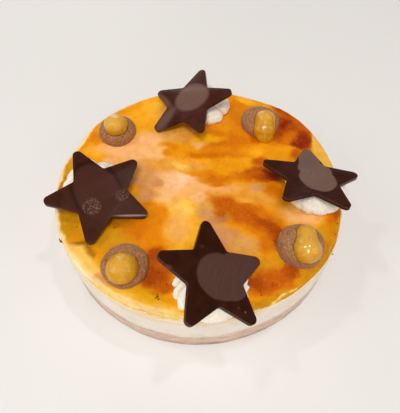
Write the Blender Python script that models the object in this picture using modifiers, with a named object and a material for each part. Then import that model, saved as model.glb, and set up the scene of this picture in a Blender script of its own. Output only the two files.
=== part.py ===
"""Round cream and truffle cake: three layers, four chocolate stars on piped cream, four drops.

Metres, +Z up.  The cake stands on z = 0 with its axis on the Z axis, and its front is -Y.
A truffle layer carries a cream layer and a thin layer of burnt egg yolk.  On the yolk stand
four cream rosettes, each with a leaning chocolate star pressed into it, and four domed
truffle drops, each with a drop of soft yolk on it.
"""
import math
import random

import bpy
import bmesh
from mathutils import Matrix, Vector

# Layers
CAKE_RADIUS = 0.110
CAKE_HEIGHT = 0.048
TRUFFLE_HEIGHT = 0.0235
YOLK_THICKNESS = 0.0036
YOLK_INSET = 0.0008
GAP = 0.0003
FOOT_ROUNDING = 0.0008
CORNER_ROUNDING = 0.0004
SHOULDER_ROUNDING = 0.0018
WALL_UNEVENNESS = 0.0004
BOUNDARY_UNEVENNESS = 0.0006
BOUNDARY_REACH = 0.0010
TURN_STEPS = 72

# Where the rim bulges out or, below zero, falls short: (degrees from +X, how far, spread)
RIM_BULGES = [(39, 0.0032, 17), (-28, 0.0010, 14), (134, 0.0004, 9), (157, -0.0020, 7), (-136, 0.0005, 9)]
WALL_BULGE_SHARE = 0.8

# Chocolate stars: a flat plate cut as a five-pointed star with rounded corners
STAR_THICKNESS = 0.0030
STAR_TIP_RADIUS = 0.0445
STAR_NOTCH_RADIUS = 0.0203
STAR_TIP_ROUNDING = 0.0037
STAR_NOTCH_ROUNDING = 0.0025
STAR_EDGE_BEVEL = 0.0005
STAR_POINTS = 5
STAR_TIP_STEPS = 5
STAR_NOTCH_STEPS = 2

# Each star's centre, its lean about X and then Y and its spin in degrees, and its share of full size
STAR_PLACES = {
    "front": {"centre": (0.0098, -0.0857, 0.0654), "lean": (0.5, 25.5), "spin": 9.0, "share": 1.0},
    "left": {"centre": (-0.0726, -0.0182, 0.0593), "lean": (11.9, 9.5), "spin": 31.5, "share": 1.0},
    "back": {"centre": (-0.0078, 0.0757, 0.0623), "lean": (2.4, -20.2), "spin": -19.3, "share": 0.97},
    "right": {"centre": (0.0843, -0.0046, 0.0611), "lean": (-15.4, 6.6), "spin": -5.0, "share": 0.99},
}

# Cream rosettes: fluted swirls, their tops pressed flat by the stars
ROSETTE_HEIGHT = 0.0190
ROSETTE_FLUTES = 14
ROSETTE_STEPS_PER_FLUTE = 5
ROSETTE_FLUTE_DEPTH = 0.0044
ROSETTE_TWIST = math.radians(38)
ROSETTE_CREST = 0.62
# Down the swirl's side: (share of its radius, share of its height)
ROSETTE_PROFILE = [
    (0.22, 0.96),
    (0.42, 0.85),
    (0.62, 0.70),
    (0.80, 0.54),
    (0.93, 0.38),
    (0.99, 0.22),
    (0.97, 0.09),
    (0.90, 0.0),
]
ROSETTE_PLACES = {
    "front": {"centre": (0.0082, -0.0866), "radius": 0.0258, "turn": 8.0},
    "left": {"centre": (-0.0800, -0.0064), "radius": 0.0258, "turn": 15.0},
    "back": {"centre": (0.0010, 0.0856), "radius": 0.0266, "turn": 17.0},
    "right": {"centre": (0.0890, -0.0084), "radius": 0.0238, "turn": 8.0},
}

# Truffle drops: low domes, each with its own wave round its foot
DROP_SQUARENESS = 2.8
DROP_BELLY = 0.0020
DROP_FOOT_SHARE = 0.96
DROP_RINGS = 7
DROP_STEPS = 28
DROP_UNEVENNESS = 0.0003
DROP_CLEARANCE_DEPTH = 0.0012
DROP_PLACES = {
    "front_left": {"centre": (-0.0496, -0.0714), "radius": 0.0161, "height": 0.0084, "wave": 11},
    "back_left": {"centre": (-0.0686, 0.0540), "radius": 0.0155, "height": 0.0098, "wave": 12},
    "back_right": {"centre": (0.0526, 0.0645), "radius": 0.0161, "height": 0.0108, "wave": 13},
    "front_right": {"centre": (0.0708, -0.0568), "radius": 0.0163, "height": 0.0128, "wave": 14},
}

# Yolk drops: soft lobes that run together, (centre from the dome's foot, half sizes) each
YOLK_BLEND = 2.2
YOLK_REACH = 0.035
YOLK_SEGMENTS = 28
YOLK_RINGS = 16
YOLK_LOBES = {
    "front_left": [((-0.0004, -0.0052, 0.0085), (0.0108, 0.0112, 0.0085))],
    "back_left": [((0.0004, -0.0022, 0.0114), (0.0098, 0.0099, 0.0084))],
    "back_right": [
        ((0.0030, -0.0042, 0.0088), (0.0088, 0.0086, 0.0078)),
        ((0.0022, -0.0120, 0.0050), (0.0092, 0.0074, 0.0076)),
        ((0.0030, -0.0160, 0.0010), (0.0062, 0.0062, 0.0050)),
    ],
    "front_right": [
        ((0.0024, -0.0062, 0.0090), (0.0102, 0.0100, 0.0086)),
        ((0.0030, 0.0050, 0.0100), (0.0072, 0.0072, 0.0064)),
    ],
}

COLOURS = {
    "truffle": (0.56, 0.40, 0.32),
    "cream": (0.86, 0.80, 0.71),
    "burnt_yolk": (0.78, 0.33, 0.02),
    "whipped_cream": (0.90, 0.87, 0.80),
    "dark_chocolate": (0.045, 0.018, 0.012),
    "truffle_mousse": (0.40, 0.20, 0.13),
    "soft_yolk": (0.72, 0.42, 0.05),
}
ROUGHNESS = {
    "truffle": 0.75,
    "cream": 0.65,
    "burnt_yolk": 0.18,
    "whipped_cream": 0.55,
    "dark_chocolate": 0.38,
    "truffle_mousse": 0.85,
    "soft_yolk": 0.22,
}


def clear_scene():
    for obj in list(bpy.data.objects):
        bpy.data.objects.remove(obj, do_unlink=True)


def new_collection(name):
    collection = bpy.data.collections.new(name)
    bpy.context.scene.collection.children.link(collection)
    return collection


def food_material(name):
    material = bpy.data.materials.get(name)
    if material:
        return material
    material = bpy.data.materials.new(name)
    material.use_nodes = True
    shader = material.node_tree.nodes["Principled BSDF"]
    shader.inputs["Base Color"].default_value = (*COLOURS[name], 1.0)
    shader.inputs["Roughness"].default_value = ROUGHNESS[name]
    shader.inputs["Metallic"].default_value = 0.0
    material.diffuse_color = (*COLOURS[name], 1.0)
    return material


def smooth(mesh, angle=40):
    mesh.shade_smooth()
    mesh.set_sharp_from_angle(angle=math.radians(angle))


def bake(obj, merge=1e-6):
    """Apply an object's modifiers and transform to a plain mesh, and remove the object."""
    bpy.context.view_layer.update()
    graph = bpy.context.evaluated_depsgraph_get()
    mesh = bpy.data.meshes.new_from_object(obj.evaluated_get(graph))
    mesh.transform(obj.matrix_world)
    bpy.data.objects.remove(obj, do_unlink=True)
    work = bmesh.new()
    work.from_mesh(mesh)
    bmesh.ops.remove_doubles(work, verts=work.verts, dist=merge)
    work.to_mesh(mesh)
    work.free()
    return mesh


def finish_part(name, mesh, material, collection):
    """Make the named sub-part from a finished mesh."""
    mesh.name = name
    mesh.materials.clear()
    mesh.materials.append(food_material(material))
    smooth(mesh)
    part = bpy.data.objects.new(name, mesh)
    collection.objects.link(part)
    return part


def turned(profile, steps):
    """Turn (radius, height) pairs, listed from the top down the outside, about the Z axis."""
    line = bpy.data.meshes.new("profile")
    line.from_pydata(
        [(radius, 0.0, height) for radius, height in profile],
        [(index, index + 1) for index in range(len(profile) - 1)],
        [],
    )
    guide = bpy.data.objects.new("profile", line)
    bpy.context.scene.collection.objects.link(guide)
    screw = guide.modifiers.new("Turn", "SCREW")
    screw.steps = steps
    screw.render_steps = steps
    screw.use_merge_vertices = True
    screw.merge_threshold = 1e-6
    return bake(guide)


def reshape(mesh, rule):
    """Move every vertex of a mesh to where a rule sends it."""
    for vertex in mesh.vertices:
        vertex.co = rule(vertex.co)


def wobble(seed, slowest=2, fastest=9):
    """A smooth, repeatable wave round a circle, between about -1 and 1."""
    draw = random.Random(seed)
    waves = [(count, draw.uniform(0, math.tau)) for count in range(slowest, fastest + 1)]
    scale = 1.0 / math.sqrt(len(waves))
    return lambda angle: scale * sum(math.cos(count * angle + phase) for count, phase in waves)


def arc(centre, radius, start, end, steps):
    """Points along an arc in the plane, angles in degrees."""
    angles = [math.radians(start + (end - start) * step / steps) for step in range(steps + 1)]
    return [(centre[0] + radius * math.cos(a), centre[1] + radius * math.sin(a)) for a in angles]


def layer_profile(radius, bottom, top, foot, shoulder):
    upper = arc((radius - shoulder, top - shoulder), shoulder, 90, 0, 3)
    lower = arc((radius - foot, bottom + foot), foot, 0, -90, 2)
    return [(0.0, top)] + upper + lower + [(0.0, bottom)]


def rim_bulge(angle):
    """How far the rim stands out at an angle, from the bulges on either side of it."""
    total = 0.0
    for place, amount, spread in RIM_BULGES:
        apart = (math.degrees(angle) - place + 180) % 360 - 180
        total += amount * math.exp(-((apart / spread) ** 2))
    return total


def pushed_out(point, push):
    """A point moved away from the axis by its share of a push at the rim."""
    scale = 1 + push / CAKE_RADIUS
    return Vector((point.x * scale, point.y * scale, point.z))


def build_layers(collection):
    wall = wobble(seed=3)
    boundary = wobble(seed=8)
    edge = wobble(seed=21, slowest=3, fastest=14)

    def uneven_wall(point):
        angle = math.atan2(point.y, point.x)
        moved = pushed_out(point, WALL_UNEVENNESS * wall(angle) + WALL_BULGE_SHARE * rim_bulge(angle))
        if abs(point.z - TRUFFLE_HEIGHT) < BOUNDARY_REACH:
            moved.z += BOUNDARY_UNEVENNESS * boundary(angle) * point.xy.length / CAKE_RADIUS
        return moved

    def uneven_edge(point):
        angle = math.atan2(point.y, point.x)
        return pushed_out(point, WALL_UNEVENNESS * (wall(angle) + edge(angle)) + rim_bulge(angle))

    yolk_bottom = CAKE_HEIGHT - YOLK_THICKNESS
    truffle = layer_profile(CAKE_RADIUS, 0.0, TRUFFLE_HEIGHT, FOOT_ROUNDING, CORNER_ROUNDING)
    cream = layer_profile(
        CAKE_RADIUS, TRUFFLE_HEIGHT + GAP, yolk_bottom - GAP, CORNER_ROUNDING, CORNER_ROUNDING
    )
    yolk = layer_profile(
        CAKE_RADIUS - YOLK_INSET, yolk_bottom, CAKE_HEIGHT, CORNER_ROUNDING, SHOULDER_ROUNDING
    )
    layers = [
        ("truffle_layer", truffle, uneven_wall, "truffle"),
        ("cream_layer", cream, uneven_wall, "cream"),
        ("yolk_layer", yolk, uneven_edge, "burnt_yolk"),
    ]
    for name, profile, rule, material in layers:
        mesh = turned(profile, TURN_STEPS)
        reshape(mesh, rule)
        finish_part(name, mesh, material, collection)


def star_corners(share):
    """The sharp corners of the star, tips and notches in turn, clockwise from +Y."""
    corners = []
    for index in range(2 * STAR_POINTS):
        is_tip = index % 2 == 0
        radius = share * (STAR_TIP_RADIUS if is_tip else STAR_NOTCH_RADIUS)
        rounding = share * (STAR_TIP_ROUNDING if is_tip else STAR_NOTCH_ROUNDING)
        angle = math.pi / 2 - index * math.pi / STAR_POINTS
        corners.append((Vector((radius * math.cos(angle), radius * math.sin(angle))), rounding))
    return corners


def round_corner(before, corner, after, rounding, steps):
    """Points of the arc that rounds a corner between its two neighbours."""
    towards_before = (before - corner).normalized()
    towards_after = (after - corner).normalized()
    half_angle = towards_before.angle(towards_after) / 2
    reach = rounding / math.tan(half_angle)
    bisector = (towards_before + towards_after).normalized()
    centre = corner + bisector * rounding / math.sin(half_angle)
    start = corner + towards_before * reach - centre
    sweep = start.angle_signed(corner + towards_after * reach - centre)
    return [centre + Matrix.Rotation(-sweep * step / steps, 2) @ start for step in range(steps + 1)]


def star_outline(share):
    corners = star_corners(share)
    count = len(corners)
    outline = []
    for index, (corner, rounding) in enumerate(corners):
        before = corners[index - 1][0]
        after = corners[(index + 1) % count][0]
        steps = STAR_TIP_STEPS if index % 2 == 0 else STAR_NOTCH_STEPS
        outline += round_corner(before, corner, after, rounding, steps)
    return outline


def star_matrix(place):
    """Spin the star in its own plane, lean it, then carry it to its centre."""
    lean_x, lean_y = (math.radians(value) for value in place["lean"])
    turn = (
        Matrix.Rotation(lean_x, 4, "X")
        @ Matrix.Rotation(lean_y, 4, "Y")
        @ Matrix.Rotation(math.radians(place["spin"]), 4, "Z")
    )
    return Matrix.Translation(place["centre"]) @ turn


def build_star(name, place, collection):
    curve = bpy.data.curves.new(name, "CURVE")
    curve.dimensions = "2D"
    curve.fill_mode = "BOTH"
    curve.extrude = STAR_THICKNESS / 2
    outline = star_outline(place["share"])
    spline = curve.splines.new("POLY")
    spline.points.add(len(outline) - 1)
    for point, corner in zip(spline.points, outline):
        point.co = (corner.x, corner.y, 0.0, 1.0)
    spline.use_cyclic_u = True
    curve.materials.append(food_material("dark_chocolate"))
    star = bpy.data.objects.new(name, curve)
    collection.objects.link(star)
    star.matrix_world = star_matrix(place)
    weld = star.modifiers.new("Weld", "WELD")
    weld.merge_threshold = 1e-5
    bevel = star.modifiers.new("Bevel", "BEVEL")
    bevel.width = STAR_EDGE_BEVEL
    bevel.segments = 2
    bevel.limit_method = "ANGLE"


def rosette_profile(radius):
    """A squat swirl: a bulging foot, a shoulder and a rounded top."""
    side = [(out * radius, up * ROSETTE_HEIGHT) for out, up in ROSETTE_PROFILE]
    return [(0.0, ROSETTE_HEIGHT)] + side + [(0.0, 0.0)]


def flute(angle):
    """Depth of the groove at an angle, 0 on a crest and 1 in a groove, crests leaning one way."""
    share = (angle * ROSETTE_FLUTES / math.tau) % 1.0
    if share < ROSETTE_CREST:
        return 1 - share / ROSETTE_CREST
    return (share - ROSETTE_CREST) / (1 - ROSETTE_CREST)


def build_rosette(name, place, star_place, collection):
    """A fluted swirl whose top is pressed down to just below its star."""
    radius = place["radius"]
    steps = ROSETTE_FLUTES * ROSETTE_STEPS_PER_FLUTE
    mesh = turned(rosette_profile(radius), steps)
    foot = Vector((*place["centre"], CAKE_HEIGHT + GAP))
    star = star_matrix(star_place)
    under = star @ Vector((0, 0, -STAR_THICKNESS / 2 - GAP))
    normal = star.to_3x3() @ Vector((0, 0, 1))
    turn = math.radians(place["turn"])

    def pressed_swirl(point):
        out = point.xy.length
        angle = math.atan2(point.y, point.x)
        climb = point.z / ROSETTE_HEIGHT
        depth = ROSETTE_FLUTE_DEPTH * flute(angle + ROSETTE_TWIST * climb)
        share = 0.0 if out < 1e-6 else 1 - depth / radius
        spun = Matrix.Rotation(turn, 2) @ (point.xy * share)
        moved = foot + Vector((spun.x, spun.y, point.z))
        plane = under.z - (normal.x * (moved.x - under.x) + normal.y * (moved.y - under.y)) / normal.z
        moved.z = min(moved.z, plane)
        return moved

    reshape(mesh, pressed_swirl)
    finish_part(name, mesh, "whipped_cream", collection)


def dome_profile(radius, height, belly):
    """A superellipse dome, widest at its belly, with its foot turned in a little."""
    power = 2 / DROP_SQUARENESS
    rings = []
    for ring in range(1, DROP_RINGS + 1):
        angle = math.pi / 2 * (1 - ring / DROP_RINGS)
        out = radius * math.cos(angle) ** power
        rings.append((out, belly + (height - belly) * math.sin(angle) ** power))
    return [(0.0, height)] + rings + [(DROP_FOOT_SHARE * radius, 0.0), (0.0, 0.0)]


def drop_mesh(place, grown=0.0, sunk=0.0):
    """The dome of a truffle drop; grown and sunk make the shape that clears it."""
    radius = place["radius"] + grown
    mesh = turned(dome_profile(radius, place["height"] + grown, DROP_BELLY), DROP_STEPS)
    wave = wobble(seed=place["wave"], slowest=2, fastest=5)
    foot = Vector((*place["centre"], CAKE_HEIGHT + GAP))

    def uneven(point):
        angle = math.atan2(point.y, point.x)
        share = 1 + DROP_UNEVENNESS * wave(angle) / radius
        lower = -sunk if point.z < 1e-6 else 0.0
        return foot + Vector((point.x * share, point.y * share, point.z + lower))

    reshape(mesh, uneven)
    return mesh


def lobe_field(point, lobes):
    """Sum of the lobes' fields: above 1 inside the blended shape and below 1 outside."""
    total = 0.0
    for centre, half_sizes in lobes:
        offset = point - Vector(centre)
        spread = sum((offset[axis] / half_sizes[axis]) ** 2 for axis in range(3))
        total += math.exp(-YOLK_BLEND * (spread - 1))
    return total


def blended_surface(direction, lobes):
    """The point where a ray from the first lobe's centre leaves the blended shape."""
    start = Vector(lobes[0][0])
    near, far = 0.0, YOLK_REACH
    for _ in range(30):
        middle = (near + far) / 2
        if lobe_field(start + direction * middle, lobes) > 1:
            near = middle
        else:
            far = middle
    return start + direction * near


def cutter(name, mesh, collection):
    tool = bpy.data.objects.new(name, mesh)
    collection.objects.link(tool)
    tool.hide_render = True
    tool.display_type = "WIRE"
    return tool


def build_yolk_drop(name, place, lobes, collection, cutters):
    """Soft yolk that rests on its dome, cut to clear it, and on the cake where it runs down."""
    work = bmesh.new()
    bmesh.ops.create_uvsphere(work, u_segments=YOLK_SEGMENTS, v_segments=YOLK_RINGS, radius=1.0)
    foot = Vector((*place["centre"], CAKE_HEIGHT + GAP))
    for vertex in work.verts:
        point = blended_surface(vertex.co.normalized(), lobes)
        vertex.co = foot + Vector((point.x, point.y, max(point.z, 0.0)))
    mesh = bpy.data.meshes.new(name)
    work.to_mesh(mesh)
    work.free()
    drop = finish_part(name, mesh, "soft_yolk", collection)
    clearance = drop_mesh(place, grown=GAP, sunk=DROP_CLEARANCE_DEPTH)
    cut = drop.modifiers.new("Clear the dome", "BOOLEAN")
    cut.operation = "DIFFERENCE"
    cut.object = cutter(name + "_clearance", clearance, cutters)


def build_drops(collection, cutters):
    for side, place in DROP_PLACES.items():
        finish_part("truffle_drop_" + side, drop_mesh(place), "truffle_mousse", collection)
        build_yolk_drop("yolk_drop_" + side, place, YOLK_LOBES[side], collection, cutters)


def build_stars(collection):
    for side, place in STAR_PLACES.items():
        build_rosette("cream_rosette_" + side, ROSETTE_PLACES[side], place, collection)
        build_star("chocolate_star_" + side, place, collection)


def main():
    clear_scene()
    cake = new_collection("cream_and_truffle_cake")
    cutters = new_collection("cutters")
    build_layers(cake)
    build_stars(cake)
    build_drops(cake, cutters)


main()
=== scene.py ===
"""Looks of a round cream and truffle cake: burnt-yolk top, chocolate stars, piped cream, drops."""
import math
import random

import bmesh
import bpy
import numpy as np
from mathutils import Matrix, Vector, geometry, noise


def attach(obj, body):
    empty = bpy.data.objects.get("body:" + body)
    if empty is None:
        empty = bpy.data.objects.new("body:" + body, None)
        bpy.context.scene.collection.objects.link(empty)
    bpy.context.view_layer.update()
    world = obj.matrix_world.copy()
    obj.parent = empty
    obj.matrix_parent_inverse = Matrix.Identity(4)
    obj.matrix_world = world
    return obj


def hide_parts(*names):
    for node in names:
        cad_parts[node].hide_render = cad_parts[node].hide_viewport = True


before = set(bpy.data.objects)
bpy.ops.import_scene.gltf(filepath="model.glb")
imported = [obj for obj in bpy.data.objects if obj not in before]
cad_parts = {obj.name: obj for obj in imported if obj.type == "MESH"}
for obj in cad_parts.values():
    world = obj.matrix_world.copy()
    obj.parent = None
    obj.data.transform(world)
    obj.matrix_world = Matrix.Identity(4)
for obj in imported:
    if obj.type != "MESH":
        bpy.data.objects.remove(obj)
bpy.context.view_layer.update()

BODY = "root"
MM = 0.001

# The cake's own sizes, as in the solids
CAKE_HEIGHT = 0.048
TRUFFLE_HEIGHT = 0.0235
GAP = 0.0003
# The height where the side's colour turns from truffle to cream, which the photo shows lower
TRUFFLE_BLEND = 0.0185


# ---------------------------------------------------------------- helpers

def hex_values(code):
    return np.array([int(code[i:i + 2], 16) / 255 for i in (1, 3, 5)])


def to_linear(values):
    return np.where(values <= 0.04045, values / 12.92, ((values + 0.055) / 1.055) ** 2.4)


def srgb(code):
    """Linear colour of a #rrggbb code."""
    return tuple(float(value) for value in to_linear(hex_values(code)))


def smoothstep(low, high, value):
    t = np.clip((value - low) / (high - low), 0, 1)
    return t * t * (3 - 2 * t)


def turn_between(first, second):
    """Degrees between two directions, from 0 to 180."""
    return abs((first - second + 180) % 360 - 180)


def around(out, degrees, z=0.0):
    """The point at a distance and in a direction from the axis."""
    a = math.radians(degrees)
    return Vector((out * math.cos(a), out * math.sin(a), z))


def wobble(seed):
    """A smooth, repeatable wave round a circle, between about -1 and 1."""
    draw = random.Random(seed)
    waves = [(count, draw.uniform(0, math.tau)) for count in (2, 3, 4, 5)]
    scale = 1.0 / math.sqrt(len(waves))
    return lambda angle: scale * sum(math.cos(count * angle + phase) for count, phase in waves)


def fbm(point, size, octaves=3, seed=0.0):
    """Fractal noise about 0, with features of the given size."""
    return noise.fractal(point / size + Vector((seed, -seed, 0.37 * seed)), 0.9, 2.1, octaves)


def new_piece(name, mesh, material, nodes=()):
    """A finished piece that rides on the cake and stands for its CAD nodes."""
    piece = bpy.data.objects.new(name, mesh)
    bpy.context.scene.collection.objects.link(piece)
    mesh.materials.clear()
    mesh.materials.append(material)
    mesh.shade_smooth()
    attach(piece, BODY)
    if nodes:
        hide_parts(*nodes)


def ring_rows(profile, steps, place):
    """Rows for polar_mesh: the point place(entry, degrees) for each entry, all the way round."""
    return [[place(entry, 360 * step / steps) for step in range(steps)] for entry in profile]


def polar_mesh(name, rows):
    """A closed mesh through rows of points round the axis, listed from the top down the outside."""
    steps = len(rows[0])
    points = [p for row in rows for p in row]
    faces = []
    for r in range(len(rows) - 1):
        for s in range(steps):
            t = (s + 1) % steps
            a, b = r * steps + s, r * steps + t
            c, d = (r + 1) * steps + t, (r + 1) * steps + s
            faces.append((a, d, c, b))
    base = (len(rows) - 1) * steps
    hub = len(points)
    for row in (rows[0], rows[-1]):
        points.append(tuple(sum(p[i] for p in row) / steps for i in range(3)))
    faces += [(hub, s, (s + 1) % steps) for s in range(steps)]
    faces += [(hub + 1, base + (s + 1) % steps, base + s) for s in range(steps)]
    mesh = bpy.data.meshes.new(name)
    mesh.from_pydata(points, [], faces)
    return mesh


def set_values(mesh, name, values):
    """One number for each point, for a material to read; the two hubs take the last one."""
    values = list(values) + [values[-1]] * (len(mesh.vertices) - len(values))
    mesh.attributes.new(name, "FLOAT", "POINT").data.foreach_set("value", values)


def read_value(tree, name):
    return add(tree, "Attribute", attribute_name=name).outputs["Fac"]


def add(tree, kind, inputs=None, **settings):
    """A shader node with its settings, and its inputs set or linked."""
    node = tree.nodes.new("ShaderNode" + kind)
    for key, value in settings.items():
        setattr(node, key, value)
    for key, value in (inputs or {}).items():
        if isinstance(value, bpy.types.NodeSocket):
            tree.links.new(value, node.inputs[key])
        else:
            node.inputs[key].default_value = value
    return node


def new_material(name, **sockets):
    material = bpy.data.materials.new(name)
    material.use_nodes = True
    tree = material.node_tree
    shader = tree.nodes["Principled BSDF"]
    for key, value in sockets.items():
        shader.inputs[key.replace("_", " ")].default_value = value
    return material, tree, shader


def position(tree):
    return add(tree, "TexCoord").outputs["Object"]


def noise_of(tree, where, scale, detail=3.0, roughness=0.5, distortion=0.0):
    return add(tree, "TexNoise", {"Vector": where, "Scale": scale, "Detail": detail,
                                  "Roughness": roughness, "Distortion": distortion}).outputs["Fac"]


def level(tree, value, low, high, out_low=0.0, out_high=1.0):
    """A smooth step from out_low to out_high as the value goes from low to high."""
    return add(tree, "MapRange", {"Value": value, "From Min": low, "From Max": high,
                                  "To Min": out_low, "To Max": out_high},
               interpolation_type="SMOOTHSTEP").outputs["Result"]


def mix(tree, fac, first, second, blend="MIX"):
    node = add(tree, "Mix", data_type="RGBA", blend_type=blend)
    for index, value in ((0, fac), (6, first), (7, second)):
        if isinstance(value, bpy.types.NodeSocket):
            tree.links.new(value, node.inputs[index])
        elif index == 0:
            node.inputs[index].default_value = value
        else:
            node.inputs[index].default_value = (*value, 1.0)
    return node.outputs[2]


def maths(tree, operation, first, second=0.0):
    node = add(tree, "Math", operation=operation)
    for index, value in ((0, first), (1, second)):
        if isinstance(value, bpy.types.NodeSocket):
            tree.links.new(value, node.inputs[index])
        else:
            node.inputs[index].default_value = value
    return node.outputs[0]


def swayed(tree, value, noise_value, reach):
    """The value moved up or down by up to half the reach, as a noise goes."""
    sway = maths(tree, "MULTIPLY", maths(tree, "SUBTRACT", noise_value, 0.5), reach)
    return maths(tree, "ADD", value, sway)


def bump(tree, shader, heights, socket="Normal"):
    """Bumps one after another: (height socket, strength in metres)."""
    normal = None
    for height, strength in heights:
        inputs = {"Height": height, "Strength": 1.0, "Distance": strength}
        if normal is not None:
            inputs["Normal"] = normal
        normal = add(tree, "Bump", inputs).outputs["Normal"]
    tree.links.new(normal, shader.inputs[socket])


# ---------------------------------------------------------------- the yolk top

# The yolk's colours: from unburnt to burnt, then the ochres, tans and peaches between them
PALETTE = {
    "edge_cream": "#ffe6b4",
    "unburnt": "#fdcb60",
    "lemon": "#ffb92c",
    "yellow": "#fdaf18",
    "honey": "#f0a440",
    "amber": "#f09c08",
    "orange": "#e68802",
    "deep_orange": "#d87600",
    "burnt_orange": "#c66000",
    "rust": "#ae4a01",
    "burn": "#902802",
    "ochre": "#d99612",
    "dark_ochre": "#b57208",
    "tan": "#e2a252",
    "peach": "#fbbc7a",
    "pale_peach": "#ffca9a",
    "rose_tan": "#d8965e",
    "rose_brown": "#be7c4a",
    "smear": "#eecb74",
    "mustard": "#c98c08",
    "olive_brown": "#a06808",
    "gold": "#e8a80c",
    "butter": "#f0b848",
    "apricot": "#f9b458",
}

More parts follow.
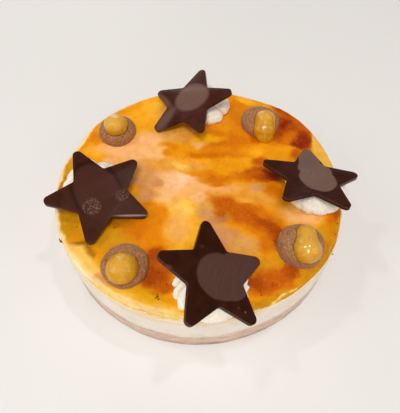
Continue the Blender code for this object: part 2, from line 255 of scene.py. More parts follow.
# Soft patches of colour on the top, laid one over another; besides the glaze's own colours, some of them
# are painted reflection, painted shade and painted light, as marked below.  Places and half sizes in
# millimetres from the cake's axis, the turn in degrees: (name, x, y, rx, ry, turn, colour)
TOP_PATCHES = [
    ("back left", -48, 74, 40, 32, 0, "yellow"),
    ("back left rim", -66, 84, 18, 7, 38, "amber"),
    ("back left bright", -41, 83, 8, 14, 0, "lemon"),
    ("left back burn", -90, 50, 7, 9, -20, "orange"),
    ("left back", -87, 33, 11, 7, 0, "yellow"),
    ("by the back star", -30, 78, 7, 14, 0, "honey"),
    # Painted reflection: the peach patches of the band across the middle, from here and again from band right
    # on, are the glaze mirroring a broad light behind the cake.
    ("band left", -62, 36, 24, 8, -8, "peach"),
    ("band upper", -41, 46, 16, 10, 0, "peach"),
    ("band lower", -50, 29, 18, 9, 0, "peach"),
    ("band shadow", -44, 18, 10, 6, 0, "tan"),
    # Painted shade: band by the star and band inner darken the band to rose tan beside the left star's right
    # arm, where its shadow falls.
    ("band by the star", -46, 6, 12, 10, 0, "rose_tan"),
    ("band inner", -34, 8, 12, 10, 0, "rose_tan"),
    ("middle", -20, 3, 18, 12, 0, "peach"),
    ("pale middle", -8, 0, 18, 10, -8, "pale_peach"),
    ("middle front", -19, -13, 18, 10, 0, "peach"),
    ("middle ring", -40, -11, 7, 7, 0, "rose_tan"),
    ("middle corner", -39, -20, 6, 4, 0, "deep_orange"),
    # Painted reflection: the right half of the peach band.
    ("band right", 30, -9, 34, 9, -6, "honey"),
    ("band right peach", 12, -8, 16, 8, 0, "peach"),
    # Painted shade: the right star's shadow on the band, to the left of the star.
    ("band right shade", 58, -8, 9, 8, 0, "deep_orange"),
    ("band right foot", 46, -15, 13, 7, -20, "honey"),
    ("band by the right star", 76, -29, 18, 9, 0, "peach"),
    ("middle back", -12, 52, 18, 8, 0, "tan"),
    ("back right", 26, 64, 30, 28, 0, "orange"),
    ("back right deep", 22, 44, 24, 10, 0, "deep_orange"),
    ("back right light", 22, 66, 8, 12, 0, "amber"),
    ("pale spot", 0, 42, 7, 5, 0, "peach"),
    ("orange spot", -24, 40, 9, 5, 0, "orange"),
    ("stroke", 43, 29, 25, 8, 48, "amber"),
    ("stroke core", 46, 32, 12, 5, 42, "yellow"),
    ("stroke end", 60, 39, 9, 6, 10, "amber"),
    ("lobe", 15, 35, 11, 5, 0, "orange"),
    ("level streak", 10, 29, 30, 3.6, 0, "deep_orange"),
    ("level streak end", -15, 30, 7, 3, 0, "amber"),
    ("left of the streak", -31, 32, 9, 7, 0, "peach"),
    ("under the streak", -22, 19, 18, 7, 0, "honey"),
    ("under the streak right", -6, 20, 13, 6, 0, "yellow"),
    ("wedge", 6, 10, 18, 4.5, -10, "orange"),
    ("above the wedge", -8, 18, 16, 5, -6, "honey"),
    ("yellow lobe", 28, 18, 10, 10, 0, "amber"),
    ("under the lobe", 14, 4, 13, 4, 0, "deep_orange"),
    ("lead to the burn", 37, 8, 10, 6, 0, "deep_orange"),
    ("burn by the star", 49, 10, 11, 7, 0, "rust"),
    # Partly a real scorch and partly painted shade under the right star's arm.
    ("burn by the star core", 59, 8, 8, 6, 0, "burn"),
    ("right back field", 78, 58, 20, 24, 20, "burnt_orange"),
    ("before the burn", 70, 33, 15, 7, 12, "amber"),
    ("right back brown", 67, 57, 10, 8, 35, "rust"),
    ("right back rim", 84, 70, 24, 6, -45, "burnt_orange"),
    ("light in the burn", 74, 47, 3.5, 7, -20, "deep_orange"),
    ("light by the burn", 81, 55, 3.5, 4, 0, "deep_orange"),
    ("burn one", 75, 65, 6, 6.5, 0, "burn"),
    ("burn two", 88, 46, 6.5, 9, 12, "burn"),
    ("burn two foot", 83, 41, 6, 4, 0, "burn"),
    ("back rim", 34, 88, 12, 12, -10, "orange"),
    ("back rim yellow", 50, 94, 14, 5, -28, "amber"),
    ("streak halo", 37, -29, 32, 13, -29, "orange"),
    ("streak", 36, -30, 27, 8.5, -29, "burnt_orange"),
    ("streak head", 19, -20, 8, 9, 0, "burnt_orange"),
    ("streak core", 48, -36, 9, 3.5, -35, "rust"),
    ("streak foot", 14, -31, 7, 6, 0, "rose_brown"),
    ("streak end", 55, -48, 6, 10, 10, "rust"),
    ("streak haze", 4, -22, 7, 9, 0, "tan"),
    ("under the long streak", 17, -46, 18, 9, -25, "rose_tan"),
    ("under the long streak right", 34, -54, 12, 7, 0, "tan"),
    ("by the right drop", 47, -53, 6, 8, 0, "deep_orange"),
    ("front right tan", 50, -69, 11, 6, 0, "ochre"),
    ("front right", 48, -82, 19, 8, 15, "burnt_orange"),
    ("front right burn", 38, -83, 8, 5, 0, "rust"),
    ("front right amber", 60, -76, 9, 4, 30, "burnt_orange"),
    ("front right yellow", 74, -76, 10, 6, 45, "ochre"),
    ("front right edge", 50, -96, 19, 4.5, 30, "mustard"),
    ("right rim", 99, -36, 7, 14, -8, "deep_orange"),
    ("right rim burn", 101, -33, 2.5, 6, -8, "burnt_orange"),
    ("right rim front", 92, -56, 8, 16, -30, "orange"),
    ("above the right star", 80, 30, 5, 6, 0, "burnt_orange"),
    ("left front", -36, -40, 14, 18, 0, "orange"),
    ("left front deep", -46, -41, 10, 10, 0, "deep_orange"),
    ("left front ochre", -64, -50, 16, 10, -15, "ochre"),
    # Painted shadow: the left star's shadow on the glaze in front of it.
    ("by the left star", -60, -35, 12, 5, 0, "dark_ochre"),
    ("bright field", -11, -38, 12, 23, 0, "lemon"),
    ("top of the bright field", -12, -24, 9, 7, 0, "unburnt"),
    ("pale in the field", -15, -40, 9, 12, 0, "apricot"),
    ("beside the bright field", -29, -27, 6, 8, 0, "orange"),
    ("by the left drop", -31, -54, 8, 9, 0, "orange"),
    ("between drop and star", -29, -71, 10, 13, 0, "burnt_orange"),
    ("front burn", -30, -79, 10, 7, -12, "rust"),
    ("front yellow", -38, -91, 18, 6, -14, "gold"),
    ("left rim ochre", -97, -34, 9, 16, 16, "mustard"),
    ("left rim brown", -106, -4, 5, 9, 0, "dark_ochre"),
    ("left rim burn", -103, -25, 4, 4, 0, "dark_ochre"),
    ("left rim amber", -102, 16, 8, 17, -10, "ochre"),
    ("left back rim", -96, 44, 5, 10, -25, "amber"),
    ("shade by the left tip", -80, -55, 8, 4, -45, "mustard"),
    ("left rim spot", -107, -8, 1.6, 2.2, 0, "rust"),
    ("left rim spot behind", -105.5, 6, 1.2, 1.6, 0, "dark_ochre"),
    ("brown by the front star", -30, -62, 6, 6, 0, "rust"),
    ("head of the streak", 15, -28, 4.5, 3.5, 0, "burnt_orange"),
    ("right back brown patch", 80, 60, 5, 5, 0, "rust"),
    ("right back brown rim", 74, 80, 9, 3, -45, "rust"),
    ("haze beside the streak", 5, -28, 6, 6, 0, "rose_tan"),
    ("right of the right drop", 90, -44, 5, 7, -20, "ochre"),
    ("front burn foot", -23, -87, 7, 4.5, 0, "burnt_orange"),
    ("brown at the stroke's foot", 49, 23, 6, 4.5, 0, "burnt_orange"),
    ("orange behind the left star", -85, 46, 6, 5, 0, "orange"),
    ("rose by the middle", -33, 1, 6, 5, 0, "rose_tan"),
    ("peach by the left star", -71, 24, 7, 4, 0, "peach"),
    ("light above the streak", 36, -16, 8, 3, -10, "honey"),
    ("peach below the middle", 0, -12, 7, 6, 0, "peach"),
    ("orange behind the middle", -24, 33, 5, 4, 0, "orange"),
    ("tan before the right star", 72, -24, 6, 4, 0, "tan"),
    ("brown before the right drop", 63, -75, 5, 5, 0, "rust"),
    # Painted light: brightens the glaze in front of the back star, where the star's shadow falls.
    ("light behind the middle", 6, 48, 15, 4.5, 0, "yellow"),
    ("brown by the stroke", 49, 48, 6, 5, 0, "burnt_orange"),
    ("front right mustard", 79, -74, 8, 5, 45, "mustard"),
    ("right rim mustard", 93, -58, 5, 9, -32, "mustard"),
    ("right rim mustard behind", 101, -42, 4, 7, -20, "mustard"),
    ("right rim drip", 104.5, -31, 1.6, 4, -15, "rust"),
    ("right rim drip lowest", 95, -56, 1.4, 3, -30, "burnt_orange"),
    ("light above the wedge", -15, 18, 7, 3.5, 0, "unburnt"),
    ("back rim lemon", 44, 95, 9, 4, -25, "lemon"),
    ("light in the middle back", -16, 53, 6, 4, 0, "honey"),
    ("light in the burn's lead", 45, 10, 5, 4, 0, "burnt_orange"),
    ("edge of the peach", 15, -1, 6, 3, 0, "deep_orange"),
    ("light in the streak", 46, -29, 5, 3, -30, "deep_orange"),
    ("under the burn", 45, -3, 6, 4, 0, "rose_tan"),
    # Painted light: lightens the glaze beside the left star's right arm, where the star's shadow falls.
    ("light by the left star", -48, 9, 6, 5, 0, "tan"),
]

# Bands along the rim: (name, from degrees, to degrees, width in mm, colour, softness in mm)
RIM_BANDS = [
    ("line inside the pale band", -152, -134, 15.0, "olive_brown", 2.0),
    ("pale front left", -153, -124, 12.0, "unburnt", 3.0),
    ("shade in the pale band", -134, -124, 10.0, "tan", 3.0),
    ("pale front", -130, -90, 8.0, "unburnt", 3.5),
    ("pale front left edge", -150, -92, 4.0, "edge_cream", 3.0),
    ("pale left edge", -173, -146, 3.2, "edge_cream", 2.0),
    ("pale back right", -3, 31, 10.0, "butter", 1.4),
    ("left edge", 138, 187, 2.2, "edge_cream", 1.4),
    ("front smear", -136, -88, 2.6, "smear", 1.6),
    ("right edge", -70, -12, 2.0, "mustard", 1.4),
    ("back edge", 34, 140, 0.9, "unburnt", 1.2),
    ("front edge", -92, -66, 1.0, "unburnt", 1.4),
    ("glaze line under the front cream", -94, -79, 1.8, "mustard", 1.0),
]

INNER_RINGS, OUTER_RINGS, RIM_STEPS = 84, 34, 660
FINE_RINGS_FROM = 0.86


def layer_radius(node):
    """Outline of a CAD layer as a function of the angle."""
    found = {}
    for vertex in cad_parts[node].data.vertices:
        if vertex.co.xy.length > 0.09:
            key = round(math.degrees(math.atan2(vertex.co.y, vertex.co.x)) * 2) / 2
            found[key] = max(found.get(key, 0.0), vertex.co.xy.length)
    angles = sorted(found)
    radii = [found[a] for a in angles]
    return lambda degrees: float(np.interp((degrees + 180) % 360 - 180, angles, radii, period=360))


rim = layer_radius("yolk_layer")


def paint_top(points):
    """Colour of the yolk at each point, in linear light."""
    places = [Vector(p) for p in points]
    warp = np.array([(2.6 * fbm(p, 0.013, 3, 4.0) + 0.9 * fbm(p, 0.0035, 2, 9.0),
                      2.6 * fbm(p, 0.013, 3, 17.0) + 0.9 * fbm(p, 0.0035, 2, 23.0)) for p in places])
    x = points[:, 0] / MM + warp[:, 0]
    y = points[:, 1] / MM + warp[:, 1]
    palette = {name: hex_values(code) for name, code in PALETTE.items()}
    colour = np.tile(palette["amber"], (len(points), 1))
    for name, px, py, rx, ry, turn, tone in TOP_PATCHES:
        c, s = math.cos(math.radians(turn)), math.sin(math.radians(turn))
        u = ((x - px) * c + (y - py) * s) / rx
        v = ((y - py) * c - (x - px) * s) / ry
        mask = smoothstep(1.55, 0.45, np.hypot(u, v))[:, None]
        colour = colour * (1 - mask) + palette[tone] * mask
    angle = np.degrees(np.arctan2(points[:, 1], points[:, 0]))
    inward = np.array([rim(a) for a in angle]) / MM - np.hypot(points[:, 0], points[:, 1]) / MM
    inward = inward + 0.8 * warp[:, 0]
    for name, start, end, width, tone, soft in RIM_BANDS:
        middle, half = (start + end) / 2, (end - start) / 2
        ends = smoothstep(half, half - min(10, half * 0.6), turn_between(angle, middle))
        mask = (smoothstep(width * ends + soft, width * ends - soft, inward) * (ends > 0))[:, None]
        colour = colour * (1 - mask) + palette[tone] * mask
    # The ridges' pale paint, partly a painted highlight along their crests.
    pale = np.array([ridges_at(p)[1] for p in places])[:, None]
    colour = colour * (1 - pale) + palette["edge_cream"] * pale
    brushed = np.array([0.6 * fbm(Vector((p.x / 0.008, p.y / 0.030, 3.0)), 1.0, 3, 60.0)
                        + 0.6 * fbm(p, 0.007, 4, 70.0) for p in places])[:, None]
    return to_linear(np.clip(colour * (1 + brushed * np.array([0.03, 0.055, 0.07])), 0, 1))


# Bubbles and raised blobs in the glaze: x, y, radius, height in mm
GLAZE_BUBBLES = [(95.0, 44.0, 1.2, 0.5), (-96.5, -35.0, 1.8, 0.6), (48.5, 16.5, 1.7, 0.5),
                 (44.0, 14.5, 1.1, 0.4), (66.0, 42.0, 1.3, 0.4), (55.5, -75.5, 1.4, 0.5),
                 (60.5, -80.0, 1.0, 0.4), (91.0, -60.5, 1.3, 0.6), (104.5, -33.0, 1.3, 0.6),
                 (99.0, -47.0, 1.2, 0.5), (81.0, -72.0, 1.2, 0.5), (92.5, -48.0, 1.0, 0.4)]
RIDGE_ZONE = 13  # mm in from the edge, which holds all the ridges
ROUGH_ZONE = 9  # mm in from the edge, where the glaze is rougher
# Raised ridges of pale glaze: name, points in mm, half width and height in mm, share of pale paint;
# the pale paint is partly the thin glaze's own colour and partly a painted highlight along the ridge
GLAZE_RIDGES = [
    ("front right lip", [(36, -102.5), (44, -99.5), (51, -94.5), (57, -90.5), (65, -86.5)], 0.70, 1.0, 1.0),
    ("front left ridge", [(-74, -75), (-62, -85), (-50, -92), (-38, -97.2), (-24, -101)], 0.9, 0.40, 0.35),
    ("front left edge", [(-56, -91.5), (-45, -97.5), (-33, -102), (-20, -105.5)], 0.7, 0.45, 0.5),
    ("right rim ridge", [(84, -68), (91, -59), (96, -49)], 0.7, 0.35, 0.3),
]


def from_rim(p):
    """Millimetres in from the yolk's edge."""
    return (rim(math.degrees(math.atan2(p.y, p.x))) - math.hypot(p.x, p.y)) / MM


def ridge_share(place, points, half_width):
    """1 on a ridge's line, falling to 0 beside it, with ragged stretches along it."""
    nearest = 1000.0
    for a, b in zip(points, points[1:]):
        foot, along = geometry.intersect_point_line(place, a, b)
        if 0 <= along <= 1:
            nearest = min(nearest, math.dist(place, foot.xy))
        else:
            nearest = min(nearest, math.dist(place, a), math.dist(place, b))
    ragged = 0.75 + 1.3 * noise.noise(Vector((place.x / 4, place.y / 4, 3.0)))
    return math.exp(-(nearest / half_width) ** 2) * max(0.15, min(1.0, ragged))


def ridges_at(p):
    """Height in mm and share of pale paint, partly a painted highlight, that the ridges give at a point."""
    if from_rim(p) > RIDGE_ZONE:
        return 0.0, 0.0
    bend = Vector((p.x, p.y, 0))
    place = Vector((p.x, p.y)) / MM
    place += Vector((0.9 * fbm(bend, 0.007, 3, 31.0), 0.9 * fbm(bend, 0.007, 3, 36.0)))
    height = pale = 0.0
    for name, points, half_width, tall, paint in GLAZE_RIDGES:
        share = ridge_share(place, points, half_width)
        height = max(height, tall * share)
        pale = max(pale, paint * share)
    return height, pale


def top_relief(p):
    """Height of the glaze above the solid's flat top."""
    x, y = p.x / MM, p.y / MM
    height = 0.20 * fbm(p, 0.028, 3, 2.0) + 0.05 * fbm(p, 0.006, 3, 5.0) + ridges_at(p)[0]
    inward = from_rim(p)
    if inward < ROUGH_ZONE:
        height += 0.20 * fbm(p, 0.0035, 3, 8.0) * (1 - inward / ROUGH_ZONE)
    for bx, by, radius, tall in GLAZE_BUBBLES:
        away = math.hypot(x - bx, y - by) / radius
        if away < 1:
            height += tall * math.sqrt(1 - away * away)
    return height * MM


def edge_inset(degrees):
    """How far the glaze stops short of the solid's edge: unevenly, and most in front."""
    p = around(0.11, degrees)
    front = max(0.0, 1 - (turn_between(degrees, -95) / 40) ** 2)
    right = max(0.0, 1 - (turn_between(degrees, -40) / 35) ** 2)
    uneven = 0.5 + 0.5 * fbm(p, 0.012, 3, 44.0) + 0.35 * fbm(p, 0.003, 3, 45.0)
    ragged = max(0.0, 0.3 + fbm(p, 0.0045, 3, 47.0))
    return MM * (0.18 + max(0.0, (0.12 + 2.0 * front) * uneven - 0.1 + 0.5 * right * ragged))


def build_top():
    """The glazed yolk: fine rings near its edge, and a rounded shoulder down to the cream."""
    shoulder = 0.0016
    shares = [FINE_RINGS_FROM * k / INNER_RINGS for k in range(1, INNER_RINGS + 1)]
    shares += [FINE_RINGS_FROM + (1 - FINE_RINGS_FROM) * k / OUTER_RINGS for k in range(1, OUTER_RINGS + 1)]
    profile = [(math.sin(t) * shoulder, -shoulder * (1 - math.cos(t))) for t in (0.35, 0.7, 1.05, 1.35, 1.57)]
    profile += [(shoulder * 0.98, -0.0020), (shoulder * 0.9, -0.0026), (shoulder * 0.7, -0.0039)]
    edges = {}
    for step in range(RIM_STEPS):
        degrees = 360 * step / RIM_STEPS
        edges[degrees] = rim(degrees) - edge_inset(degrees)

    def on_top(share, degrees):
        p = around(share * (edges[degrees] - shoulder), degrees, CAKE_HEIGHT)
        p.z += top_relief(p) * min(1.0, (1 - share) * 20 + 0.3)
        return p

    def on_edge(entry, degrees):
        extra, drop = entry
        out = edges[degrees] - shoulder + extra
        p = around(out, degrees, CAKE_HEIGHT + drop)
        swell = 0.00020 * fbm(p, 0.005, 3, 40.0)
        return around(out + swell, degrees, p.z + 0.4 * swell)

    rows = ring_rows(shares, RIM_STEPS, on_top) + ring_rows(profile, RIM_STEPS, on_edge)
    mesh = polar_mesh("burnt_yolk_top", rows)
    points = np.array([v.co for v in mesh.vertices], float)
    colour = paint_top(points)
    layer = mesh.color_attributes.new("yolk_paint", "FLOAT_COLOR", "POINT")
    layer.data.foreach_set("color", np.hstack([colour, np.ones((len(colour), 1))]).ravel())
    set_values(mesh, "burnt", smoothstep(0.22, 0.07, colour[:, 1]))
    new_piece("burnt_yolk_top", mesh, yolk_material(), ["yolk_layer"])


def yolk_material():
    material, tree, shader = new_material(
        "glazed_burnt_yolk", Roughness=0.45, Specular_IOR_Level=0.05, Coat_Weight=0.45,
        Coat_Roughness=0.07, Coat_IOR=1.40)
    where = position(tree)
    colour = add(tree, "VertexColor", layer_name="yolk_paint").outputs["Color"]
    burnt = read_value(tree, "burnt")
    cloud = noise_of(tree, where, 150, 5, 0.65)
    mottle = noise_of(tree, where, 420, 4, 0.7)
    darker = mix(tree, 1.0, colour, srgb("#dfa878"), "MULTIPLY")
    lighter = mix(tree, 0.35, colour, srgb("#ffc860"))
    colour = mix(tree, level(tree, cloud, 0.42, 0.72, 0.0, 0.28), colour, darker)
    colour = mix(tree, level(tree, mottle, 0.54, 0.72, 0.0, 0.30), colour, darker)
    colour = mix(tree, level(tree, mottle, 0.46, 0.28, 0.0, 0.35), colour, lighter)
    grain = noise_of(tree, where, 560, 4, 0.65, 0.5)
    flecks = maths(tree, "MULTIPLY", level(tree, grain, 0.55, 0.66), burnt)
    colour = mix(tree, maths(tree, "MULTIPLY", flecks, 0.6), colour, srgb("#741f02"))
    few = level(tree, noise_of(tree, where, 800, 2, 0.5), 0.72, 0.78, 0.0, 0.6)
    colour = mix(tree, few, colour, srgb("#a85008"))
    tree.links.new(colour, shader.inputs["Base Color"])
    tree.links.new(level(tree, cloud, 0.3, 0.8, 0.38, 0.55), shader.inputs["Roughness"])
    bump(tree, shader, [(noise_of(tree, where, 130, 4, 0.55), 0.00012), (mottle, 0.00006)])
    bump(tree, shader, [(noise_of(tree, where, 260, 3, 0.5), 0.00008)], "Coat Normal")
    return material


# Burnt bits at the height of the glaze: x, y, length and width in mm, turn in degrees
BURNT_BITS = [
    (-26.5, -92.5, 1.9, 1.2, 70), (-25.8, -94.3, 1.3, 0.9, 20), (-27.8, -93.6, 1.0, 0.7, 0),
    (-27.0, -91.0, 0.9, 0.7, 40), (-97.3, -51.4, 2.6, 1.3, -50), (-98.6, -49.6, 1.2, 0.8, -60),
    (49.0, -83.2, 1.3, 0.8, 30), (52.0, -84.4, 0.9, 0.7, 0), (41.0, -91.5, 1.2, 0.7, 10),
    (57.5, -73.0, 0.8, 0.6, 0), (-36.0, -80.5, 1.1, 0.7, -20), (-33.5, -82.2, 0.8, 0.6, 0),
    (-21.0, -84.0, 1.0, 0.7, 30), (97.8, -45.6, 1.1, 0.7, 60), (93.0, -61.5, 1.3, 0.6, 70),
    (101.0, -36.5, 1.2, 0.8, 80), (58.0, 70.0, 1.0, 0.7, 0), (76.0, 62.0, 1.2, 0.8, 30),
    (-60.5, -40.0, 0.9, 0.6, 0), (-88.0, -39.5, 0.9, 0.6, 0),
]


def build_burnt_bits():
    """Small scorched crumbs as one mesh, half sunk in the glaze wherever it lies under them."""
    work = bmesh.new()
    for index, (x, y, length, width, turn) in enumerate(BURNT_BITS):
        place = (Matrix.Translation((x * MM, y * MM, CAKE_HEIGHT + 0.0001))
                 @ Matrix.Rotation(math.radians(turn), 4, "Z")
                 @ Matrix.Diagonal((length / 2 * MM, width / 2 * MM, 0.00045, 1)))
        made = bmesh.ops.create_icosphere(work, subdivisions=3, radius=1.0)["verts"]
        for vertex in made:
            lump = 1 + 0.45 * noise.fractal(vertex.co * 1.3 + Vector((index * 7.0, 0, 0)), 0.9, 2.1, 3)
            vertex.co = place @ (vertex.co * lump)
    mesh = bpy.data.meshes.new("burnt_bits")
    work.to_mesh(mesh)
    work.free()
    material, tree, shader = new_material(
        "scorched_crumb", Roughness=0.5, Coat_Weight=0.15, Coat_Roughness=0.1)
    grain = noise_of(tree, position(tree), 1500, 3, 0.6)
    tree.links.new(mix(tree, level(tree, grain, 0.35, 0.65), srgb("#93300a"), srgb("#5f1c06")),
                   shader.inputs["Base Color"])
    bump(tree, shader, [(grain, 0.0001)])
    new_piece("burnt_bits", mesh, material)


# ---------------------------------------------------------------- the sides

def side_material():
    """Cream above, truffle below, running softly into each other, with small streaks."""
    material, tree, shader = new_material(
        "layered_side", Roughness=0.55, Coat_Weight=0.15, Coat_Roughness=0.3,
        Subsurface_Weight=0.2, Subsurface_Radius=(0.004, 0.0025, 0.0015), Subsurface_Scale=0.5)
    where = position(tree)
    height = add(tree, "SeparateXYZ", {"Vector": where}).outputs["Z"]
    wave = noise_of(tree, where, 45, 4, 0.6)
    streak_place = add(tree, "Mapping", {"Vector": where, "Scale": (1.0, 1.0, 6.0)}).outputs[0]
    streaks = noise_of(tree, streak_place, 80, 5, 0.65, 0.6)
    drift = swayed(tree, swayed(tree, height, wave, 0.016), streaks, 0.008)
    lower = mix(tree, level(tree, streaks, 0.35, 0.65), srgb("#e6cebd"), srgb("#cda68d"))
    upper = mix(tree, level(tree, wave, 0.3, 0.7), srgb("#fbf1e7"), srgb("#f4e6d9"))
    upper = mix(tree, level(tree, streaks, 0.56, 0.70, 0.0, 0.5), upper, srgb("#e4cdbd"))
    blend = level(tree, drift, TRUFFLE_BLEND - 0.0035, TRUFFLE_BLEND + 0.0035)
    colour = mix(tree, blend, lower, upper)
    marks = level(tree, noise_of(tree, streak_place, 120, 4, 0.7, 0.4), 0.585, 0.645)
    apart = maths(tree, "ABSOLUTE", maths(tree, "SUBTRACT", drift, TRUFFLE_BLEND))
    near = level(tree, apart, 0.001, 0.0065, 1.0, 0.0)
    colour = mix(tree, maths(tree, "MULTIPLY", marks, near), colour, srgb("#7d4f36"))
    # Painted contact shadow and painted reflection of a gold board: the side turns brown in its lowest few
    # millimetres.
    colour = mix(tree, level(tree, drift, -0.001, 0.0065, 0.8, 0.0), colour, srgb("#8f6849"))
    glazed = level(tree, drift, 0.0380, 0.0460, 0.0, 0.65)
    colour = mix(tree, glazed, colour, srgb("#efd39b"))
    tree.links.new(colour, shader.inputs["Base Color"])
    tree.links.new(level(tree, streaks, 0.3, 0.7, 0.45, 0.7), shader.inputs["Roughness"])
    bump(tree, shader, [(streaks, 0.0006), (noise_of(tree, where, 500, 3, 0.6), 0.00008)])
    return material


def build_side(name, node, profile, material):
    """A layer with small dents all over its side; the profile lists heights and insets."""
    radius = layer_radius(node)
    steps = 480

    def place(entry, degrees):
        z, inset = entry
        out = radius(degrees) - inset
        p = around(out, degrees, z)
        dent = 0.00025 * fbm(p, 0.012, 3, 50.0) - 0.00018
        dent += 0.00012 * fbm(Vector((p.x, p.y, 4 * p.z)), 0.004, 3, 60.0)
        return around(out + dent, degrees, z)

    new_piece(name, polar_mesh(name, ring_rows(profile, steps, place)), material, [node])


def side_profile(bottom, top, foot, shoulder):
    """Heights and insets down a layer's side, rounded at both edges."""
    profile = [(top, shoulder)]
    for t in (0.3, 0.6, 0.85, 1.0):
        profile.append((top - shoulder * (1 - math.sqrt(1 - (1 - t) ** 2)), shoulder * (1 - t)))
    count = 26
    for k in range(1, count):
        profile.append((top - shoulder + (bottom + foot - top + shoulder) * k / count, 0.0))
    for t in (0.0, 0.4, 0.7, 1.0):
        profile.append((bottom + foot * (1 - t), foot * (1 - math.sqrt(1 - t * t))))
    return profile


def build_sides():
    """Both layers: they overlap by 0.4 mm, and the cream's top edge lies inside the glaze."""
    material = side_material()
    cream_bottom, cream_top = TRUFFLE_HEIGHT - 0.0012, 0.0466
    cream = side_profile(cream_bottom, cream_top, foot=0.00005, shoulder=0.0024)
    build_side("cream_side", "cream_layer", cream, material)
    truffle = side_profile(0.0, TRUFFLE_HEIGHT - 0.0008, foot=0.0008, shoulder=0.00005)
    build_side("truffle_side", "truffle_layer", truffle, material)


# ---------------------------------------------------------------- chocolate stars

STAR_THICKNESS, STAR_BEVEL = 0.0030, 0.0007
EDGE_ANGLE = math.radians(50)
STAR_TIP_RADIUS, STAR_NOTCH_RADIUS = 0.0440, 0.0203
STAR_TIP_ROUNDING, STAR_NOTCH_ROUNDING = 0.0037, 0.0025
STAR_PLACES = {
    "front": {"centre": (0.0098, -0.0857, 0.0654), "lean": (0.5, 25.5), "spin": 9.0, "share": 1.0},
    "left": {"centre": (-0.0726, -0.0182, 0.0593), "lean": (11.9, 9.5), "spin": 31.5, "share": 1.0},
    "back": {"centre": (-0.0078, 0.0757, 0.0623), "lean": (2.4, -20.2), "spin": -19.3, "share": 0.97},
    "right": {"centre": (0.0843, -0.0046, 0.0611), "lean": (-15.4, 6.6), "spin": -5.0, "share": 0.99},
}
# Painted reflection and painted shade on each star, in the star's own plane in mm: discs (x, y, rx, ry, turn,
# softness) that join into one patch, its colour, the chocolate's two tones, and smaller marks
# (x, y, rx, ry, turn, softness, colour, strength, speckled). The patch is a greyish painted reflection on the
# front, back and right stars, and a darker painted shade round a lighter middle on the left star
STAR_SHEEN_AND_SHADE = {
    "front": {"discs": [(4, -1, 16.5, 16, 0, 0.06), (11, -5, 12, 12, 0, 0.06), (22, 8, 18, 10.5, 10, 0.08)],
              "colour": "#573c35", "tones": ("#2d1208", "#39190d"),
              "marks": [(17, -24, 0.7, 0.7, 0, 0.4, "#6a5850", 0.9, False),
                        (12.5, -21.5, 0.5, 0.5, 0, 0.4, "#5f4c44", 0.8, False),
                        (-30, 4, 2.2, 1.0, -25, 0.5, "#5b2e22", 0.8, False),
                        (-6, 19, 1.8, 1.2, 0, 0.5, "#4d2c26", 0.6, False)]},
    "left": {"discs": [(0, 2, 18.5, 27, 0, 0.10)], "colour": "#2f150e", "tones": ("#381a10", "#422016"),
             "marks": [(0, 0, 16.0, 25, 0, 0.10, "#46271f", 1.0, False),
                       (1, -14, 20, 14, 0, 0.30, "#45251c", 0.7, False),
                       (-9, -7, 6.5, 6.5, 0, 0.15, "#7c5f57", 0.9, True),
                       (14, -9, 5.0, 4.5, 0, 0.20, "#80635a", 0.8, True),
                       # Painted highlight along the lower edge of the left star's lower right arm.
                       (12.8, -26.3, 11, 0.7, -27, 0.5, "#a08d86", 0.8, False)]},
    "back": {"discs": [(1, 5, 15, 15, 0, 0.16)], "colour": "#71544a", "tones": ("#3e1b10", "#46221a"),
             "marks": [(-16, -20, 5, 14, -16, 0.6, "#6c5149", 0.8, False),
                       (-26, 2, 13, 3, -38, 0.6, "#6c5149", 0.7, False)]},
    "right": {"discs": [(4, -2, 14, 15, 0, 0.05), (0, 18, 8.5, 20, 0, 0.06), (3, 9, 13, 11, 0, 0.06)],
              "colour": "#735a51", "tones": ("#34140a", "#3c190e"), "marks": []},
}


def star_matrix(place):
    lean_x, lean_y = (math.radians(value) for value in place["lean"])
    turn = (Matrix.Rotation(lean_x, 4, "X") @ Matrix.Rotation(lean_y, 4, "Y")
            @ Matrix.Rotation(math.radians(place["spin"]), 4, "Z"))
    return Matrix.Translation(place["centre"]) @ turn


def round_corner(before, corner, after, rounding, steps):
    to_before = (before - corner).normalized()
    to_after = (after - corner).normalized()
    half = to_before.angle(to_after) / 2
    centre = corner + (to_before + to_after).normalized() * rounding / math.sin(half)
    reach = rounding / math.tan(half)
    start = corner + to_before * reach - centre
    sweep = start.angle_signed(corner + to_after * reach - centre)
    return [centre + Matrix.Rotation(-sweep * step / steps, 2) @ start for step in range(steps + 1)]


def star_outline(share):
    corners = []
    for index in range(10):
        radius = share * (STAR_TIP_RADIUS if index % 2 == 0 else STAR_NOTCH_RADIUS)
        angle = math.pi / 2 - index * math.pi / 5
        corners.append(Vector((radius * math.cos(angle), radius * math.sin(angle))))
    outline = []
    for index, corner in enumerate(corners):
        rounding = share * (STAR_TIP_ROUNDING if index % 2 == 0 else STAR_NOTCH_ROUNDING)
        steps = 12 if index % 2 == 0 else 6
        outline += round_corner(corners[index - 1], corner, corners[(index + 1) % 10], rounding, steps)
    return outline


